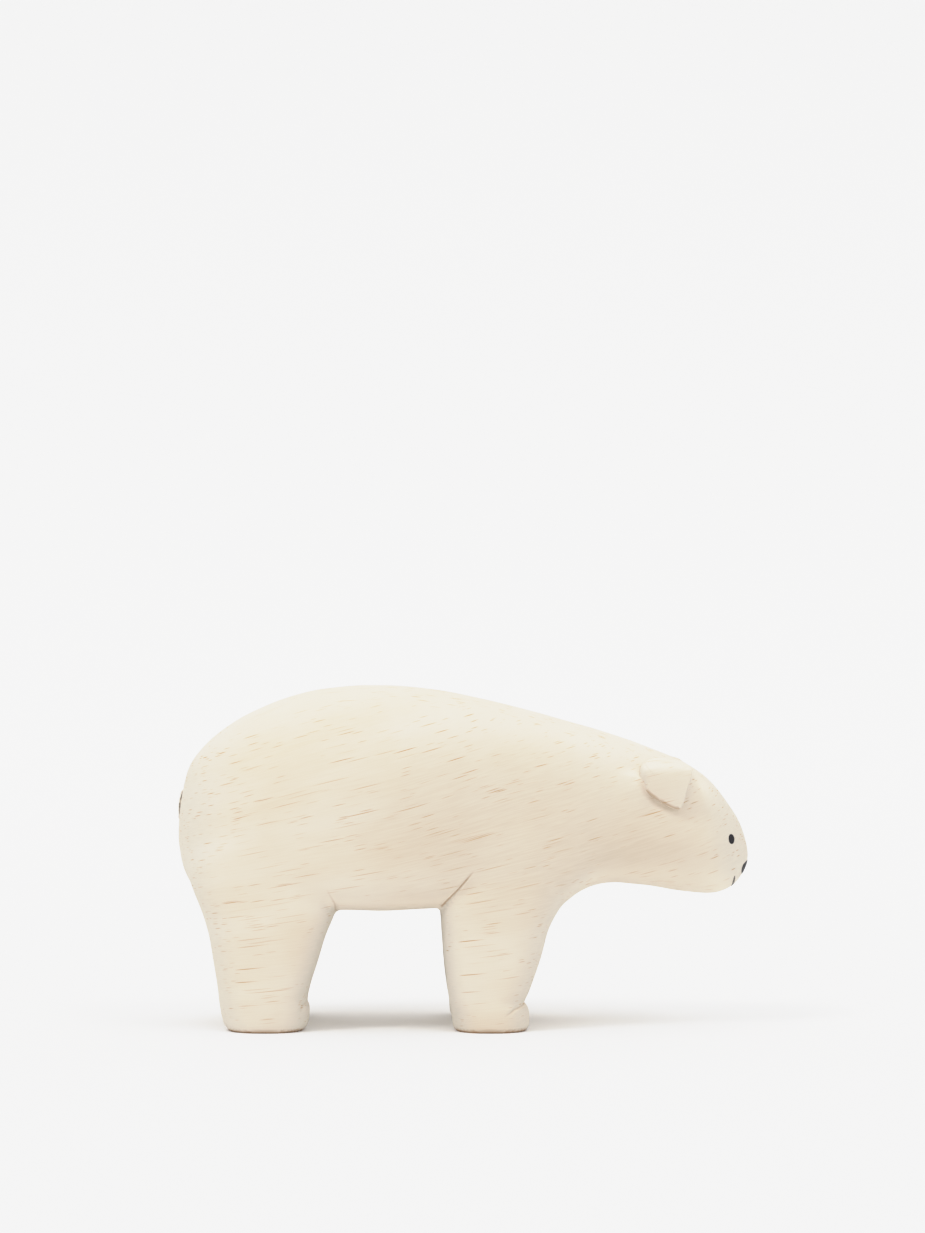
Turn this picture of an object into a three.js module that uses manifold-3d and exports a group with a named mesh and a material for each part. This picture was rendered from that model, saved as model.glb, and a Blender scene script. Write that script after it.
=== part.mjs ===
// Carved wooden polar bear on four legs: one block for the body, with glued-in ears and tail and painted marks.
// Millimetres. +X runs from tail to nose, +Y is the bear's left side, +Z is up, and the soles stand on z = 0.

import * as THREE from "three";
import { mergeVertices } from "three/addons/utils/BufferGeometryUtils.js";
import Module from "manifold-3d";

const wasm = await Module();
wasm.setup();

// Driving dimensions
const noseX = 75;
const rumpX = -74.6;
const backTop = 88.7;
const bellyHeight = 31.0;
const torsoHalf = 27.5;
const headHalf = 18.2;
const legOuter = 27.0;
const legInner = 6.2;
const gap = 0.3; // clearance round every let-in piece
const weld = 1e-4; // vertices nearer than this are one vertex

// Rounded sections
const torsoSides = 36; // points round one rib
const torsoSteps = 3; // sections from one rib to the next
const legSides = 24;
const upperRoundness = 2.2; // 2 is an ellipse, more is squarer
const lowerRoundness = 3.4;
const torsoWidest = 0.35; // height of the widest level, as a share of the rib
const headWidest = 0.46;
const neckFrom = 0.5; // shares of the way from tail to nose
const neckTo = 0.75;
const legRoundness = 2.7;

// Ribs from tail to nose: x and z on the back, x and z on the belly, half width.
const ribs = [
  [rumpX, 54.0, rumpX, 54.0, 0],
  [-73.9, 61.2, -74.1, 46.8, 8.8],
  [-70.8, 69.2, -71.6, 39.0, 16.2],
  [-64.0, 76.3, -66.5, 33.4, 22.0],
  [-53.0, 82.8, -58.0, bellyHeight + 0.2, 25.8],
  [-38.5, 87.5, -41.0, bellyHeight, torsoHalf],
  [-21.0, backTop, -21.0, bellyHeight - 0.5, torsoHalf],
  [-3.0, 86.9, -4.0, bellyHeight + 0.1, 26.9],
  [12.0, 83.6, 12.0, bellyHeight - 0.6, 25.6],
  [25.0, 80.0, 25.6, bellyHeight + 0.8, 23.9],
  [36.5, 76.7, 33.5, 37.0, 21.6],
  [47.7, 72.9, 46.5, 36.5, 19.6],
  [57.1, 68.9, 57.1, 34.9, headHalf],
  [64.2, 64.4, 64.4, 34.1, 16.1],
  [69.6, 57.9, 68.4, 34.9, 12.4],
  [73.2, 51.6, 72.2, 37.5, 7.0],
  [noseX, 43.6, noseX, 43.6, 0],
];

// Leg sections from the sole up: z, hind edge, front edge, and how far the outer and inner faces draw in.
const frontLeg = [
  [0, -1.7, 16.3, 0.8, 0.8],
  [0.4, -2.2, 16.8, 0.3, 0.3],
  [1.4, -2.5, 17.2, 0.1, 0],
  [4.6, -2.9, 17.2, 0, 0],
  [6.1, -3.1, 16.8, 0, 0],
  [7.0, -3.3, 15.9, 0.1, 0.1],
  [9.2, -3.6, 16.9, 0.2, 0.2],
  [18.0, -4.5, 20.0, 0.1, 0.2],
  [26.0, -5.0, 22.3, 0, 0],
  [32.0, -5.2, 25.4, 0, 0],
  [38.0, -0.4, 26.8, 0.4, 0],
  [45.0, 4.6, 24.6, 2.6, 1],
  [53.0, 8.0, 19.0, 8.0, 3],
];
const hindLeg = [
  [0, -60.0, -41.6, 0.9, 0.8],
  [0.4, -60.6, -40.9, 0.4, 0.3],
  [1.6, -61.5, -40.2, 0, 0],
  [4.6, -62.3, -39.9, -0.2, 0],
  [6.6, -62.7, -40.1, -0.3, 0],
  [7.8, -62.9, -40.6, -0.3, 0.1],
  [10.2, -63.2, -40.3, -0.3, 0.2],
  [17.0, -64.2, -38.7, -0.3, 0.2],
  [24.0, -65.4, -36.6, -0.4, 0],
  [31.0, -67.5, -33.6, -0.4, 0],
  [38.0, -68.0, -35.4, 0, 0],
  [46.0, -63.0, -40.5, 2.4, 1],
  [54.0, -59.0, -46.0, 8.0, 3],
];

// Ears: side outline (x, z) and front outline (distance from the middle, z).
const earSide = [
  [45.7, 65.8],
  [46.6, 68.6],
  [49.6, 69.8],
  [54.4, 69.7],
  [58.2, 68.5],
  [59.1, 66.4],
  [57.9, 62.4],
  [55.9, 57.0],
  [50.4, 59.2],
  [47.2, 62.0],
];
const earFront = [
  [15.8, 55.6],
  [19.4, 56.0],
  [21.5, 59.4],
  [22.2, 63.2],
  [21.6, 66.6],
  [20.0, 68.8],
  [17.4, 69.8],
  [14.2, 69.3],
  [11.4, 67.4],
  [10.4, 65.0],
  [12.6, 60.6],
];
const earThrough = 40; // longer than the ear in every direction

// Tail: a leaf, widest above its middle, pointing down (across, up)
const tailCentre = new THREE.Vector3(-74.2, 0, 57.2);
const tailAxis = new THREE.Vector3(-0.99, 0, 0.13).normalize();
const tailOutline = [
  [0, -3.8],
  [1.9, -1.5],
  [2.6, 1.1],
  [2.0, 3.0],
  [0, 3.8],
  [-2.0, 3.0],
  [-2.6, 1.1],
  [-1.9, -1.5],
];
const tailDepth = 1.8;
const tailProud = 0.35;

// Painted marks, given the thickness of a thin plug
const markDepth = 0.8;
const markProud = 0.05;
const eyeRadius = 1.3;
const eyeCentre = new THREE.Vector3(69.9, 11.2, 48.9);
const eyeAxis = new THREE.Vector3(0.75, 0.66, 0).normalize();
const noseHalfWidth = 5.0;
const noseHalfHeight = 2.08;
const noseCentre = new THREE.Vector3(74.3, 0, 40.9);
const noseAxis = new THREE.Vector3(0.94, 0, -0.35).normalize();
const smileRadius = 11.9;
const smileSpread = 0.59; // radians to each side of straight down
const smileStroke = 0.7;
const smileCentre = new THREE.Vector3(71.0, 0, 35.9);
const smileAxis = new THREE.Vector3(0.64, 0, -0.77).normalize();
const markThrough = 8;

const up = new THREE.Vector3(0, 0, 1);

function limewashedWood() {
  return new THREE.MeshStandardMaterial({ color: 0xeae0cb, roughness: 0.85, metalness: 0 });
}

function blackPaint() {
  return new THREE.MeshStandardMaterial({ color: 0x2b2730, roughness: 0.6, metalness: 0 });
}

// A closed geometry as a solid that can be joined and cut.
function solid(geometry) {
  const plain = geometry.clone();
  plain.deleteAttribute("normal");
  plain.deleteAttribute("uv");
  const merged = mergeVertices(plain, weld);
  return new wasm.Manifold(
    new wasm.Mesh({
      numProp: 3,
      vertProperties: merged.getAttribute("position").array,
      triVerts: new Uint32Array(merged.index.array),
    }),
  );
}

function geometryOf(piece) {
  const made = piece.getMesh();
  const geometry = new THREE.BufferGeometry();
  geometry.setAttribute("position", new THREE.BufferAttribute(made.vertProperties, 3));
  geometry.setIndex(new THREE.BufferAttribute(made.triVerts, 1));
  return geometry;
}

function namedMesh(name, piece, material) {
  const geometry = geometryOf(piece);
  geometry.computeVertexNormals();
  const mesh = new THREE.Mesh(geometry, material);
  mesh.name = name;
  return mesh;
}

// The copy of a solid moved along an axis.
function shifted(piece, axis, distance) {
  const offset = axis.clone().multiplyScalar(distance);
  return solid(geometryOf(piece).translate(offset.x, offset.y, offset.z));
}

// Rings of equal count joined in order, with a fan to one point at each end.
function loft(rings, first, last) {
  const count = rings[0].length;
  const points = [...rings.flat(), first, last];
  const firstIndex = points.length - 2;
  const lastIndex = points.length - 1;
  const lastRing = (rings.length - 1) * count;
  const faces = [];
  for (let side = 0; side < count; side++) {
    const next = (side + 1) % count;
    faces.push(firstIndex, next, side);
    for (let ring = 0; ring + 1 < rings.length; ring++) {
      const a = ring * count + side;
      const b = ring * count + next;
      faces.push(a, b, b + count, a, b + count, a + count);
    }
    faces.push(lastIndex, lastRing + side, lastRing + next);
  }
  const geometry = new THREE.BufferGeometry().setFromPoints(points);
  geometry.setIndex(faces);
  return geometry;
}

// Across and along values of a rounded square, from -1 to 1, at one angle.
function roundedSquare(angle, roundness) {
  const power = 2 / roundness;
  const across = Math.sign(Math.cos(angle)) * Math.abs(Math.cos(angle)) ** power;
  const along = Math.sign(Math.sin(angle)) * Math.abs(Math.sin(angle)) ** power;
  return [across, along];
}

// Torso, neck and head: one closed curve runs over the back and home along the belly, and its y is the half width.
function torsoGeometry() {
  const backPoints = ribs.map(([x, z, , , half]) => new THREE.Vector3(x, half, z));
  const bellyPoints = ribs.slice(1, -1).map(([, , x, z, half]) => new THREE.Vector3(x, -half, z));
  const outline = new THREE.CatmullRomCurve3([...backPoints, ...bellyPoints.reverse()], true);
  const steps = (ribs.length - 1) * torsoSteps;
  const rings = [];
  for (let step = 1; step < steps; step++) {
    const back = outline.getPoint((0.5 * step) / steps);
    const belly = outline.getPoint(1 - (0.5 * step) / steps);
    const neck = THREE.MathUtils.smoothstep(step / steps, neckFrom, neckTo);
    rings.push(ribRing(back, belly, THREE.MathUtils.lerp(torsoWidest, headWidest, neck)));
  }
  return loft(rings, outline.getPoint(0), outline.getPoint(0.5));
}

function ribRing(back, belly, widestShare) {
  const half = 0.5 * (back.y - belly.y);
  const top = back.clone().setY(0);
  const bottom = belly.clone().setY(0);
  const widest = bottom.clone().lerp(top, widestShare);
  const ring = [];
  for (let side = 0; side < torsoSides; side++) {
    const upper = 2 * side < torsoSides;
    const [across, along] = roundedSquare((2 * Math.PI * side) / torsoSides, upper ? upperRoundness : lowerRoundness);
    const point = widest.clone().lerp(along > 0 ? top : bottom, Math.abs(along));
    ring.push(point.setY(half * across));
  }
  return ring;
}

// One leg: side is 1 for the bear's left and -1 for its right.
function legGeometry(sections, side) {
  const edges = new THREE.CatmullRomCurve3(sections.map(([z, hind, front]) => new THREE.Vector3(hind, front, z)));
  const faces = new THREE.CatmullRomCurve3(
    sections.map(([z, , , outerIn, innerIn]) => new THREE.Vector3(legOuter - outerIn, legInner + innerIn, z)),
  );
  const steps = sections.length - 1;
  const rings = [];
  for (let step = 0; step <= steps; step++) {
    const edge = edges.getPoint(step / steps);
    const face = faces.getPoint(step / steps);
    const centre = new THREE.Vector3(0.5 * (edge.x + edge.y), 0.5 * side * (face.x + face.y), edge.z);
    rings.push(legRing(centre, 0.5 * (edge.y - edge.x), 0.5 * (face.x - face.y)));
  }
  const sole = centreOf(rings[0]);
  const top = centreOf(rings[steps]);
  return loft(rings, sole, top);
}

function legRing(centre, halfX, halfY) {
  const ring = [];
  for (let side = 0; side < legSides; side++) {
    const [across, along] = roundedSquare((2 * Math.PI * side) / legSides, legRoundness);
    ring.push(new THREE.Vector3(centre.x + halfX * across, centre.y + halfY * along, centre.z));
  }
  return ring;
}

function centreOf(ring) {
  const sum = new THREE.Vector3();
  ring.forEach((point) => sum.add(point));
  return sum.divideScalar(ring.length);
}

// The whole carved block before anything is let into it.
function bearBlock() {
  let block = solid(torsoGeometry());
  for (const side of [-1, 1]) {
    block = block.add(solid(legGeometry(frontLeg, side)));
    block = block.add(solid(legGeometry(hindLeg, side)));
  }
  return block;
}

// A shape extruded both ways from a centre, its own y axis kept upright.
function prism(shape, centre, axis, length) {
  const across = new THREE.Vector3().crossVectors(up, axis).normalize();
  const upright = new THREE.Vector3().crossVectors(axis, across);
  const geometry = new THREE.ExtrudeGeometry(shape, { depth: length, bevelEnabled: false, curveSegments: 10 });
  geometry.translate(0, 0, -0.5 * length);
  geometry.applyMatrix4(new THREE.Matrix4().makeBasis(across, upright, axis).setPosition(centre));
  return solid(geometry);
}

// A closed smooth outline through points, grown outwards by a margin.
function smoothOutline(points, margin, divisions) {
  const middle = new THREE.Vector2();
  const places = points.map(([x, y]) => new THREE.Vector2(x, y));
  places.forEach((place) => middle.add(place));
  middle.divideScalar(places.length);
  const grown = places.map((place) => {
    const outward = place.clone().sub(middle);
    return place.clone().add(outward.setLength(margin));
  });
  const curve = new THREE.CatmullRomCurve3(grown.map((place) => new THREE.Vector3(place.x, place.y, 0)), true);
  return new THREE.Shape(curve.getPoints(divisions).slice(0, -1).map((point) => new THREE.Vector2(point.x, point.y)));
}

function ovalOutline(halfWidth, halfHeight) {
  return new THREE.Shape().absellipse(0, 0, halfWidth, halfHeight, 0, 2 * Math.PI);
}

// The smile is a band of a circle that hangs below its centre, with its lowest point at the origin.
function smileOutline(margin) {
  const half = 0.5 * smileStroke + margin;
  const spread = smileSpread + margin / smileRadius;
  const from = -0.5 * Math.PI - spread;
  const to = -0.5 * Math.PI + spread;
  const shape = new THREE.Shape();
  shape.absarc(0, smileRadius, smileRadius + half, from, to, false);
  shape.absarc(0, smileRadius, smileRadius - half, to, from, true);
  return shape;
}

// A piece let into the block: it follows the block's surface, stands proud of it and sits in a seat with a gap.
function letIn(block, outlineFor, place) {
  const cutter = prism(outlineFor(0), place.centre, place.axis, place.through);
  const seatCutter = prism(outlineFor(gap), place.centre, place.axis, place.through);
  const outside = shifted(block, place.axis, place.proud);
  const piece = outside.intersect(cutter).subtract(shifted(block, place.axis, -place.depth));
  const seat = seatCutter.subtract(shifted(block, place.axis, -place.depth - gap));
  return { piece, seat };
}

function eye(block, side) {
  const mirror = new THREE.Vector3(1, side, 1);
  return letIn(block, (margin) => ovalOutline(eyeRadius + margin, eyeRadius + margin), {
    centre: eyeCentre.clone().multiply(mirror),
    axis: eyeAxis.clone().multiply(mirror),
    depth: markDepth,
    proud: markProud,
    through: markThrough,
  });
}

function nose(block) {
  return letIn(block, (margin) => ovalOutline(noseHalfWidth + margin, noseHalfHeight + margin), {
    centre: noseCentre,
    axis: noseAxis,
    depth: markDepth,
    proud: markProud,
    through: markThrough,
  });
}

function mouth(block) {
  return letIn(block, smileOutline, {
    centre: smileCentre,
    axis: smileAxis,
    depth: markDepth,
    proud: markProud,
    through: markThrough,
  });
}

function tail(block) {
  return letIn(block, (margin) => smoothOutline(tailOutline, margin, 24), {
    centre: tailCentre,
    axis: tailAxis,
    depth: tailDepth,
    proud: tailProud,
    through: markThrough,
  });
}

// An ear block: its side outline and its front outline cut out of each other. The seat is the same shape grown.
function ear(side) {
  const across = new THREE.Vector3(0, -1, 0);
  const forward = new THREE.Vector3(1, 0, 0);
  const origin = new THREE.Vector3();
  const blockWith = (margin) => {
    const front = earFront.map(([y, z]) => [side * y, z]);
    const sideCut = prism(smoothOutline(earSide, margin, 40), origin, across, 2 * earThrough);
    const frontCut = prism(smoothOutline(front, margin, 32), new THREE.Vector3(50, 0, 0), forward, earThrough);
    return sideCut.intersect(frontCut);
  };
  return { piece: blockWith(0), seat: blockWith(gap) };
}

function polarBear() {
  const block = bearBlock();
  const letInPieces = {
    left_ear: { ...ear(1), material: limewashedWood() },
    right_ear: { ...ear(-1), material: limewashedWood() },
    tail: { ...tail(block), material: limewashedWood() },
    left_eye: { ...eye(block, 1), material: blackPaint() },
    right_eye: { ...eye(block, -1), material: blackPaint() },
    nose: { ...nose(block), material: blackPaint() },
    mouth: { ...mouth(block), material: blackPaint() },
  };
  const bear = new THREE.Group();
  let body = block;
  for (const [name, { piece, seat, material }] of Object.entries(letInPieces)) {
    body = body.subtract(seat);
    bear.add(namedMesh(name, piece, material));
  }
  bear.add(namedMesh("body", body, limewashedWood()));
  return bear;
}

export default polarBear();
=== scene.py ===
import math
import bmesh
import bpy
import numpy as np
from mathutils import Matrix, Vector
from mathutils.bvhtree import BVHTree


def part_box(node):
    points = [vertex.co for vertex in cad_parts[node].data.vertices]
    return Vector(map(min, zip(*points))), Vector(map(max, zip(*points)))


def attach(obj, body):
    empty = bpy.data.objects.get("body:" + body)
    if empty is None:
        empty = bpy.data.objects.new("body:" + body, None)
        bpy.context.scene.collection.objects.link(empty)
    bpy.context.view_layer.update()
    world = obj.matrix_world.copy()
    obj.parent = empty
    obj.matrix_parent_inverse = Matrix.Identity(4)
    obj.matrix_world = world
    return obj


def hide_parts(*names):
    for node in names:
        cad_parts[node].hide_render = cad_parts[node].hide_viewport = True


# Carved and limewashed wooden polar bear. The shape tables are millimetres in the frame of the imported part.
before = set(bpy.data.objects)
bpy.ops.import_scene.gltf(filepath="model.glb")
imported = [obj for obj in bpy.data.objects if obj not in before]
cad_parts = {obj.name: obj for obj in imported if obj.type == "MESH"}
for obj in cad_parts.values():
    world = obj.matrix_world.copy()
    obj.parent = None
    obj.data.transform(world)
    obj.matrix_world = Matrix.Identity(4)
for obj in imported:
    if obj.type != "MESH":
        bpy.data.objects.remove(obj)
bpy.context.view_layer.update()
mm = 0.001
bearLow, bearHigh = (Vector(corner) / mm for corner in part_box("body"))
print("frame loaded, body is", [round(high - low, 1) for low, high in zip(bearLow, bearHigh)], "mm")

studio = {
    "cameraPlace": (0.0, -1.0, 0.1067),
    "lens": 111.15,
    "sensor": 36.0,
    "worldColour": (1.0, 0.996, 0.988),
    "zenith": 0.76,
    "horizon": 1.04,
    "horizonTop": 0.75,  # height, as a share of straight up, where the room's glow has faded
    "keys": {  # way the light travels, strength, spread in degrees
        "leftSoftbox": ((0.55, 0.5, -1.0), 0.73, 16.0),
        "rightSoftbox": ((-0.55, 0.5, -1.0), 0.28, 16.0),
        "topSoftbox": ((0.0, 0.1, -1.0), 0.88, 60.0),
    },
    "sweepWidth": 14.0,
    "sweepFront": -2.0,
    "sweepBack": 1.4,
    "sweepRadius": 1.2,
    "sweepTop": 4.2,
    "sweepSteps": 24,
    "floorColour": (0.90, 0.90, 0.90),
    "wallColour": (0.93, 0.93, 0.93),
    "wallHeight": 1.4,  # where the floor's colour has become the wall's
    "speckScale": 900.0,
    "speckBump": 0.00001,
    "sweepRoughness": 0.9,
    "sweepSpecular": 0.1,
    "toneCurve": [(0.0, 0.0), (0.6, 0.6), (0.85, 0.81), (1.12, 0.89)],  # rolls off like a bright print
}


def ease(value, low, high):
    share = np.clip((value - low) / (high - low), 0.0, 1.0)
    return share * share * (3.0 - 2.0 * share)


# A point on a smooth curve through p1 and p2, with its neighbours p0 and p3.
def curvePoint(p0, p1, p2, p3, share):
    d0 = max((p1 - p0).length ** 0.5, 1e-4)
    d1 = max((p2 - p1).length ** 0.5, 1e-4)
    d2 = max((p3 - p2).length ** 0.5, 1e-4)
    start = ((p1 - p0) / d0 - (p2 - p0) / (d0 + d1) + (p2 - p1) / d1) * d1
    end = ((p2 - p1) / d1 - (p3 - p1) / (d1 + d2) + (p3 - p2) / d2) * d1
    bend = 3.0 * (p2 - p1) - 2.0 * start - end
    twist = 2.0 * (p1 - p2) + start + end
    return p1 + start * share + bend * share**2 + twist * share**3


def openCurve(points, steps):
    places = [Vector(point) for point in points]
    places = [2.0 * places[0] - places[1], *places, 2.0 * places[-1] - places[-2]]
    found = []
    for index in range(len(points) - 1):
        found += [curvePoint(*places[index:index + 4], step / steps) for step in range(steps)]
    return [*found, places[-2]]


def closedCurve(points, steps):
    places = [Vector(point) for point in points]
    count = len(places)
    found = []
    for index in range(count):
        around = [places[(index + shift) % count] for shift in (-1, 0, 1, 2)]
        found += [curvePoint(*around, step / steps) for step in range(steps)]
    return found


def roundedSquare(angle, roundness):
    across, along = math.cos(angle), math.sin(angle)
    power = 2.0 / roundness
    return (
        math.copysign(abs(across) ** power, across),
        math.copysign(abs(along) ** power, along),
    )


# Rings of equal count joined in order; each end closes on one point.
def addLoft(mesh, rings, first, last):
    corners = [[mesh.verts.new(point) for point in ring] for ring in rings]
    firstCorner, lastCorner = mesh.verts.new(first), mesh.verts.new(last)
    count = len(rings[0])
    for side in range(count):
        following = (side + 1) % count
        mesh.faces.new((firstCorner, corners[0][following], corners[0][side]))
        for lower, upper in zip(corners, corners[1:]):
            mesh.faces.new((lower[side], lower[following], upper[following], upper[side]))
        mesh.faces.new((lastCorner, corners[-1][side], corners[-1][following]))


def ringCentre(ring):
    return sum(ring, Vector()) / len(ring)


def newObject(name, mesh):
    data = bpy.data.meshes.new(name)
    bmesh.ops.recalc_face_normals(mesh, faces=mesh.faces)
    mesh.to_mesh(data)
    mesh.free()
    made = bpy.data.objects.new(name, data)
    bpy.context.collection.objects.link(made)
    return made


def shadeSmooth(piece):
    piece.data.polygons.foreach_set("use_smooth", [True] * len(piece.data.polygons))
    piece.data.update()


def finishPiece(piece, material, slot, *nodes):
    piece.data.materials.append(material)
    shadeSmooth(piece)
    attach(piece, "root")
    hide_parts(*nodes)


torso = {
    "ribs": [  # back x, z, belly x, z, half width
        (-74.55, 54.0, -74.55, 54.0, 0.0),
        (-73.75, 61.2, -74.0, 46.8, 8.8),
        (-70.8, 69.2, -71.6, 39.0, 16.2),
        (-64.0, 76.3, -66.5, 33.4, 22.0),
        (-53.0, 82.8, -58.0, 31.2, 25.8),
        (-38.5, 87.5, -41.0, 31.0, 27.5),
        (-21.0, 88.7, -21.0, 30.5, 27.5),
        (-3.0, 86.9, -4.0, 31.1, 26.9),
        (12.0, 83.6, 12.0, 30.4, 25.6),
        (25.0, 80.0, 25.6, 31.8, 23.9),
        (36.5, 76.7, 33.5, 37.0, 21.6),
        (47.7, 72.9, 46.5, 36.5, 19.6),
        (57.1, 68.9, 57.1, 34.9, 18.2),
        (64.2, 64.4, 64.4, 34.1, 16.1),
        (69.6, 57.9, 68.4, 34.9, 12.4),
        (73.2, 51.6, 72.2, 37.5, 7.0),
        (75.0, 43.6, 75.0, 43.6, 0.0),
    ],
    "steps": 8,
    "sides": 112,
    "upperRoundness": (2.2, 2.1),  # torso and head; 2 is an ellipse, more is squarer
    "lowerRoundness": (5.6, 1.9),
    "widest": (0.35, 0.46),  # share of a rib's height
    "neck": (0.5, 0.75),
}

legs = {
    "outer": 27.0,
    "inner": 6.2,
    "steps": 6,
    "sides": 72,
    "roundness": {"front": (2.5, 3.6), "hind": (3.0, 2.4)},  # front and rear edges of each leg
    "soleRoundness": 2.3,
    "soleBlend": 14.0,  # height at which a leg has its own roundness
    "leftSetback": {"front": 0.8, "hind": 1.9},  # how far the left legs stand behind the right ones
    "front": [  # z, hind edge, front edge, outer face in, inner face in
        (0.0, -1.7, 16.3, 0.8, 0.8),
        (0.4, -2.2, 16.8, 0.3, 0.3),
        (1.4, -2.5, 17.2, 0.1, 0.0),
        (4.6, -2.9, 17.2, 0.0, 0.0),
        (6.1, -3.1, 16.8, 0.0, 0.0),
        (7.0, -3.3, 15.9, 0.1, 0.1),
        (9.2, -3.6, 16.9, 0.2, 0.2),
        (18.0, -4.5, 20.0, 0.1, 0.2),
        (26.0, -5.0, 22.3, 0.0, 0.0),
        (32.0, -5.2, 25.4, 0.0, 0.0),
        (38.0, -0.4, 26.8, 0.1, 0.0),
        (45.0, 3.8, 24.6, 0.4, 1.0),
        (52.0, 7.0, 20.6, 1.2, 3.0),
        (58.0, 10.0, 17.0, 3.6, 5.0),
    ],
    "hind": [
        (0.0, -60.0, -41.6, 0.9, 0.8),
        (0.4, -60.6, -40.9, 0.4, 0.3),
        (1.6, -61.5, -39.9, 0.0, 0.0),
        (4.6, -62.3, -39.5, -0.2, 0.0),
        (6.6, -62.7, -39.6, -0.3, 0.0),
        (7.8, -62.9, -40.0, -0.3, 0.1),
        (10.2, -63.2, -39.6, -0.3, 0.2),
        (17.0, -64.2, -37.6, -0.3, 0.2),
        (24.0, -65.4, -35.5, -0.4, 0.0),
        (31.0, -67.5, -32.9, -0.4, 0.0),
        (35.5, -69.5, -33.4, -0.2, 0.0),
        (40.0, -70.8, -35.4, 0.0, 0.4),
        (46.0, -69.0, -38.5, 0.5, 1.0),
        (53.0, -62.5, -43.0, 2.0, 3.0),
        (59.0, -57.0, -47.0, 4.6, 5.0),
    ],
}


def torsoRings():
    ribs = torso["ribs"]
    back = [Vector((x, half, z)) for x, z, _, _, half in ribs]
    belly = [Vector((x, -half, z)) for _, _, x, z, half in ribs[1:-1]]
    outline = closedCurve(back + belly[::-1], torso["steps"])
    total = (len(ribs) - 1) * torso["steps"]
    rings = []
    for step in range(1, total):
        rings.append(ribRing(outline[step], outline[-step], step / total))
    return rings, outline[0], outline[total]


def ribRing(back, belly, share):
    half = 0.5 * (back.y - belly.y)
    top, bottom = Vector((back.x, 0, back.z)), Vector((belly.x, 0, belly.z))
    neck = float(ease(share, *torso["neck"]))
    upperRoundness, lowerRoundness, height = (
        torso[name][0] * (1 - neck) + torso[name][1] * neck
        for name in ("upperRoundness", "lowerRoundness", "widest")
    )
    widest = bottom.lerp(top, height)
    ring = []
    for side in range(torso["sides"]):
        angle = 2 * math.pi * side / torso["sides"]
        upper = math.sin(angle) > 0
        across, along = roundedSquare(angle, upperRoundness if upper else lowerRoundness)
        point = widest.lerp(top if upper else bottom, abs(along))
        point.y = half * across
        ring.append(point)
    return ring


def legRings(name, side):
    sections = legs[name]
    setback = legs["leftSetback"][name] if side > 0 else 0.0
    edges = openCurve([(hind, front, z) for z, hind, front, _, _ in sections], legs["steps"])
    faces = openCurve([(outer, inner, z) for z, _, _, outer, inner in sections], legs["steps"])
    rings = []
    for edge, face in zip(edges, faces):
        outer, inner = legs["outer"] - face.x, legs["inner"] + face.y
        middle = Vector((0.5 * (edge.x + edge.y) - setback, 0.5 * side * (outer + inner), edge.z))
        own = float(ease(edge.z, 0.0, legs["soleBlend"]))
        sole = legs["soleRoundness"]
        roundness = [own * value + (1.0 - own) * sole for value in legs["roundness"][name]]
        rings.append(legRing(middle, 0.5 * (edge.y - edge.x), 0.5 * (outer - inner), roundness))
    return rings


def legRing(middle, halfX, halfY, roundness):
    ring = []
    for side in range(legs["sides"]):
        angle = 2 * math.pi * side / legs["sides"]
        across, along = roundedSquare(angle, roundness[0] if math.cos(angle) > 0 else roundness[1])
        ring.append(middle + Vector((halfX * across, halfY * along, 0)))
    return ring


carving = {
    "voxel": 0.82,
    "softRounds": 3,
    "softPulls": (0.5, -0.51),
    "fillBatches": 7,
    "fillRounds": 24,
    "fillStep": 0.5,
    "slideShare": 0.3,
    "shaveShare": 0.12,  # how much of each smoothing step may cut a bump down
    "blends": [  # low corner, high corner, edge; y is the distance from the middle
        ((-84, 8, 35), (-35, 40, 64), 7.0),
        ((-84, -1, 22), (-58, 40, 50), 7.0),
        ((3, 8, 39), (38, 40, 64), 6.0),
        ((20, -1, 24), (40, 40, 46), 6.0),
    ],
    "waveHeight": 0.06,
    "waveLengths": (9.0, 26.0),
    "waves": 14,
    "waveFade": (1.0, 6.0),  # heights between which the waves grow from nothing, above the soles
    "seed": 7,
    "splitMargin": 0.7,  # how far outside a cut its faces are still split
    "splitMost": 1.2,
    "splitTimes": 2,
    "hollowFrom": 1.5,  # a cut with a wider half than this is a soft hollow, not a V
    "sideFade": (-0.3, 0.1),  # how far the wood may face inwards and still be cut
    "soleFlat": 0.3,  # all below this height is pressed flat
    "soleEdge": 0.75,
    "soleShadow": 1.5,  # over 1 the painted contact shadow stays full for a way above the ground
}

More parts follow.
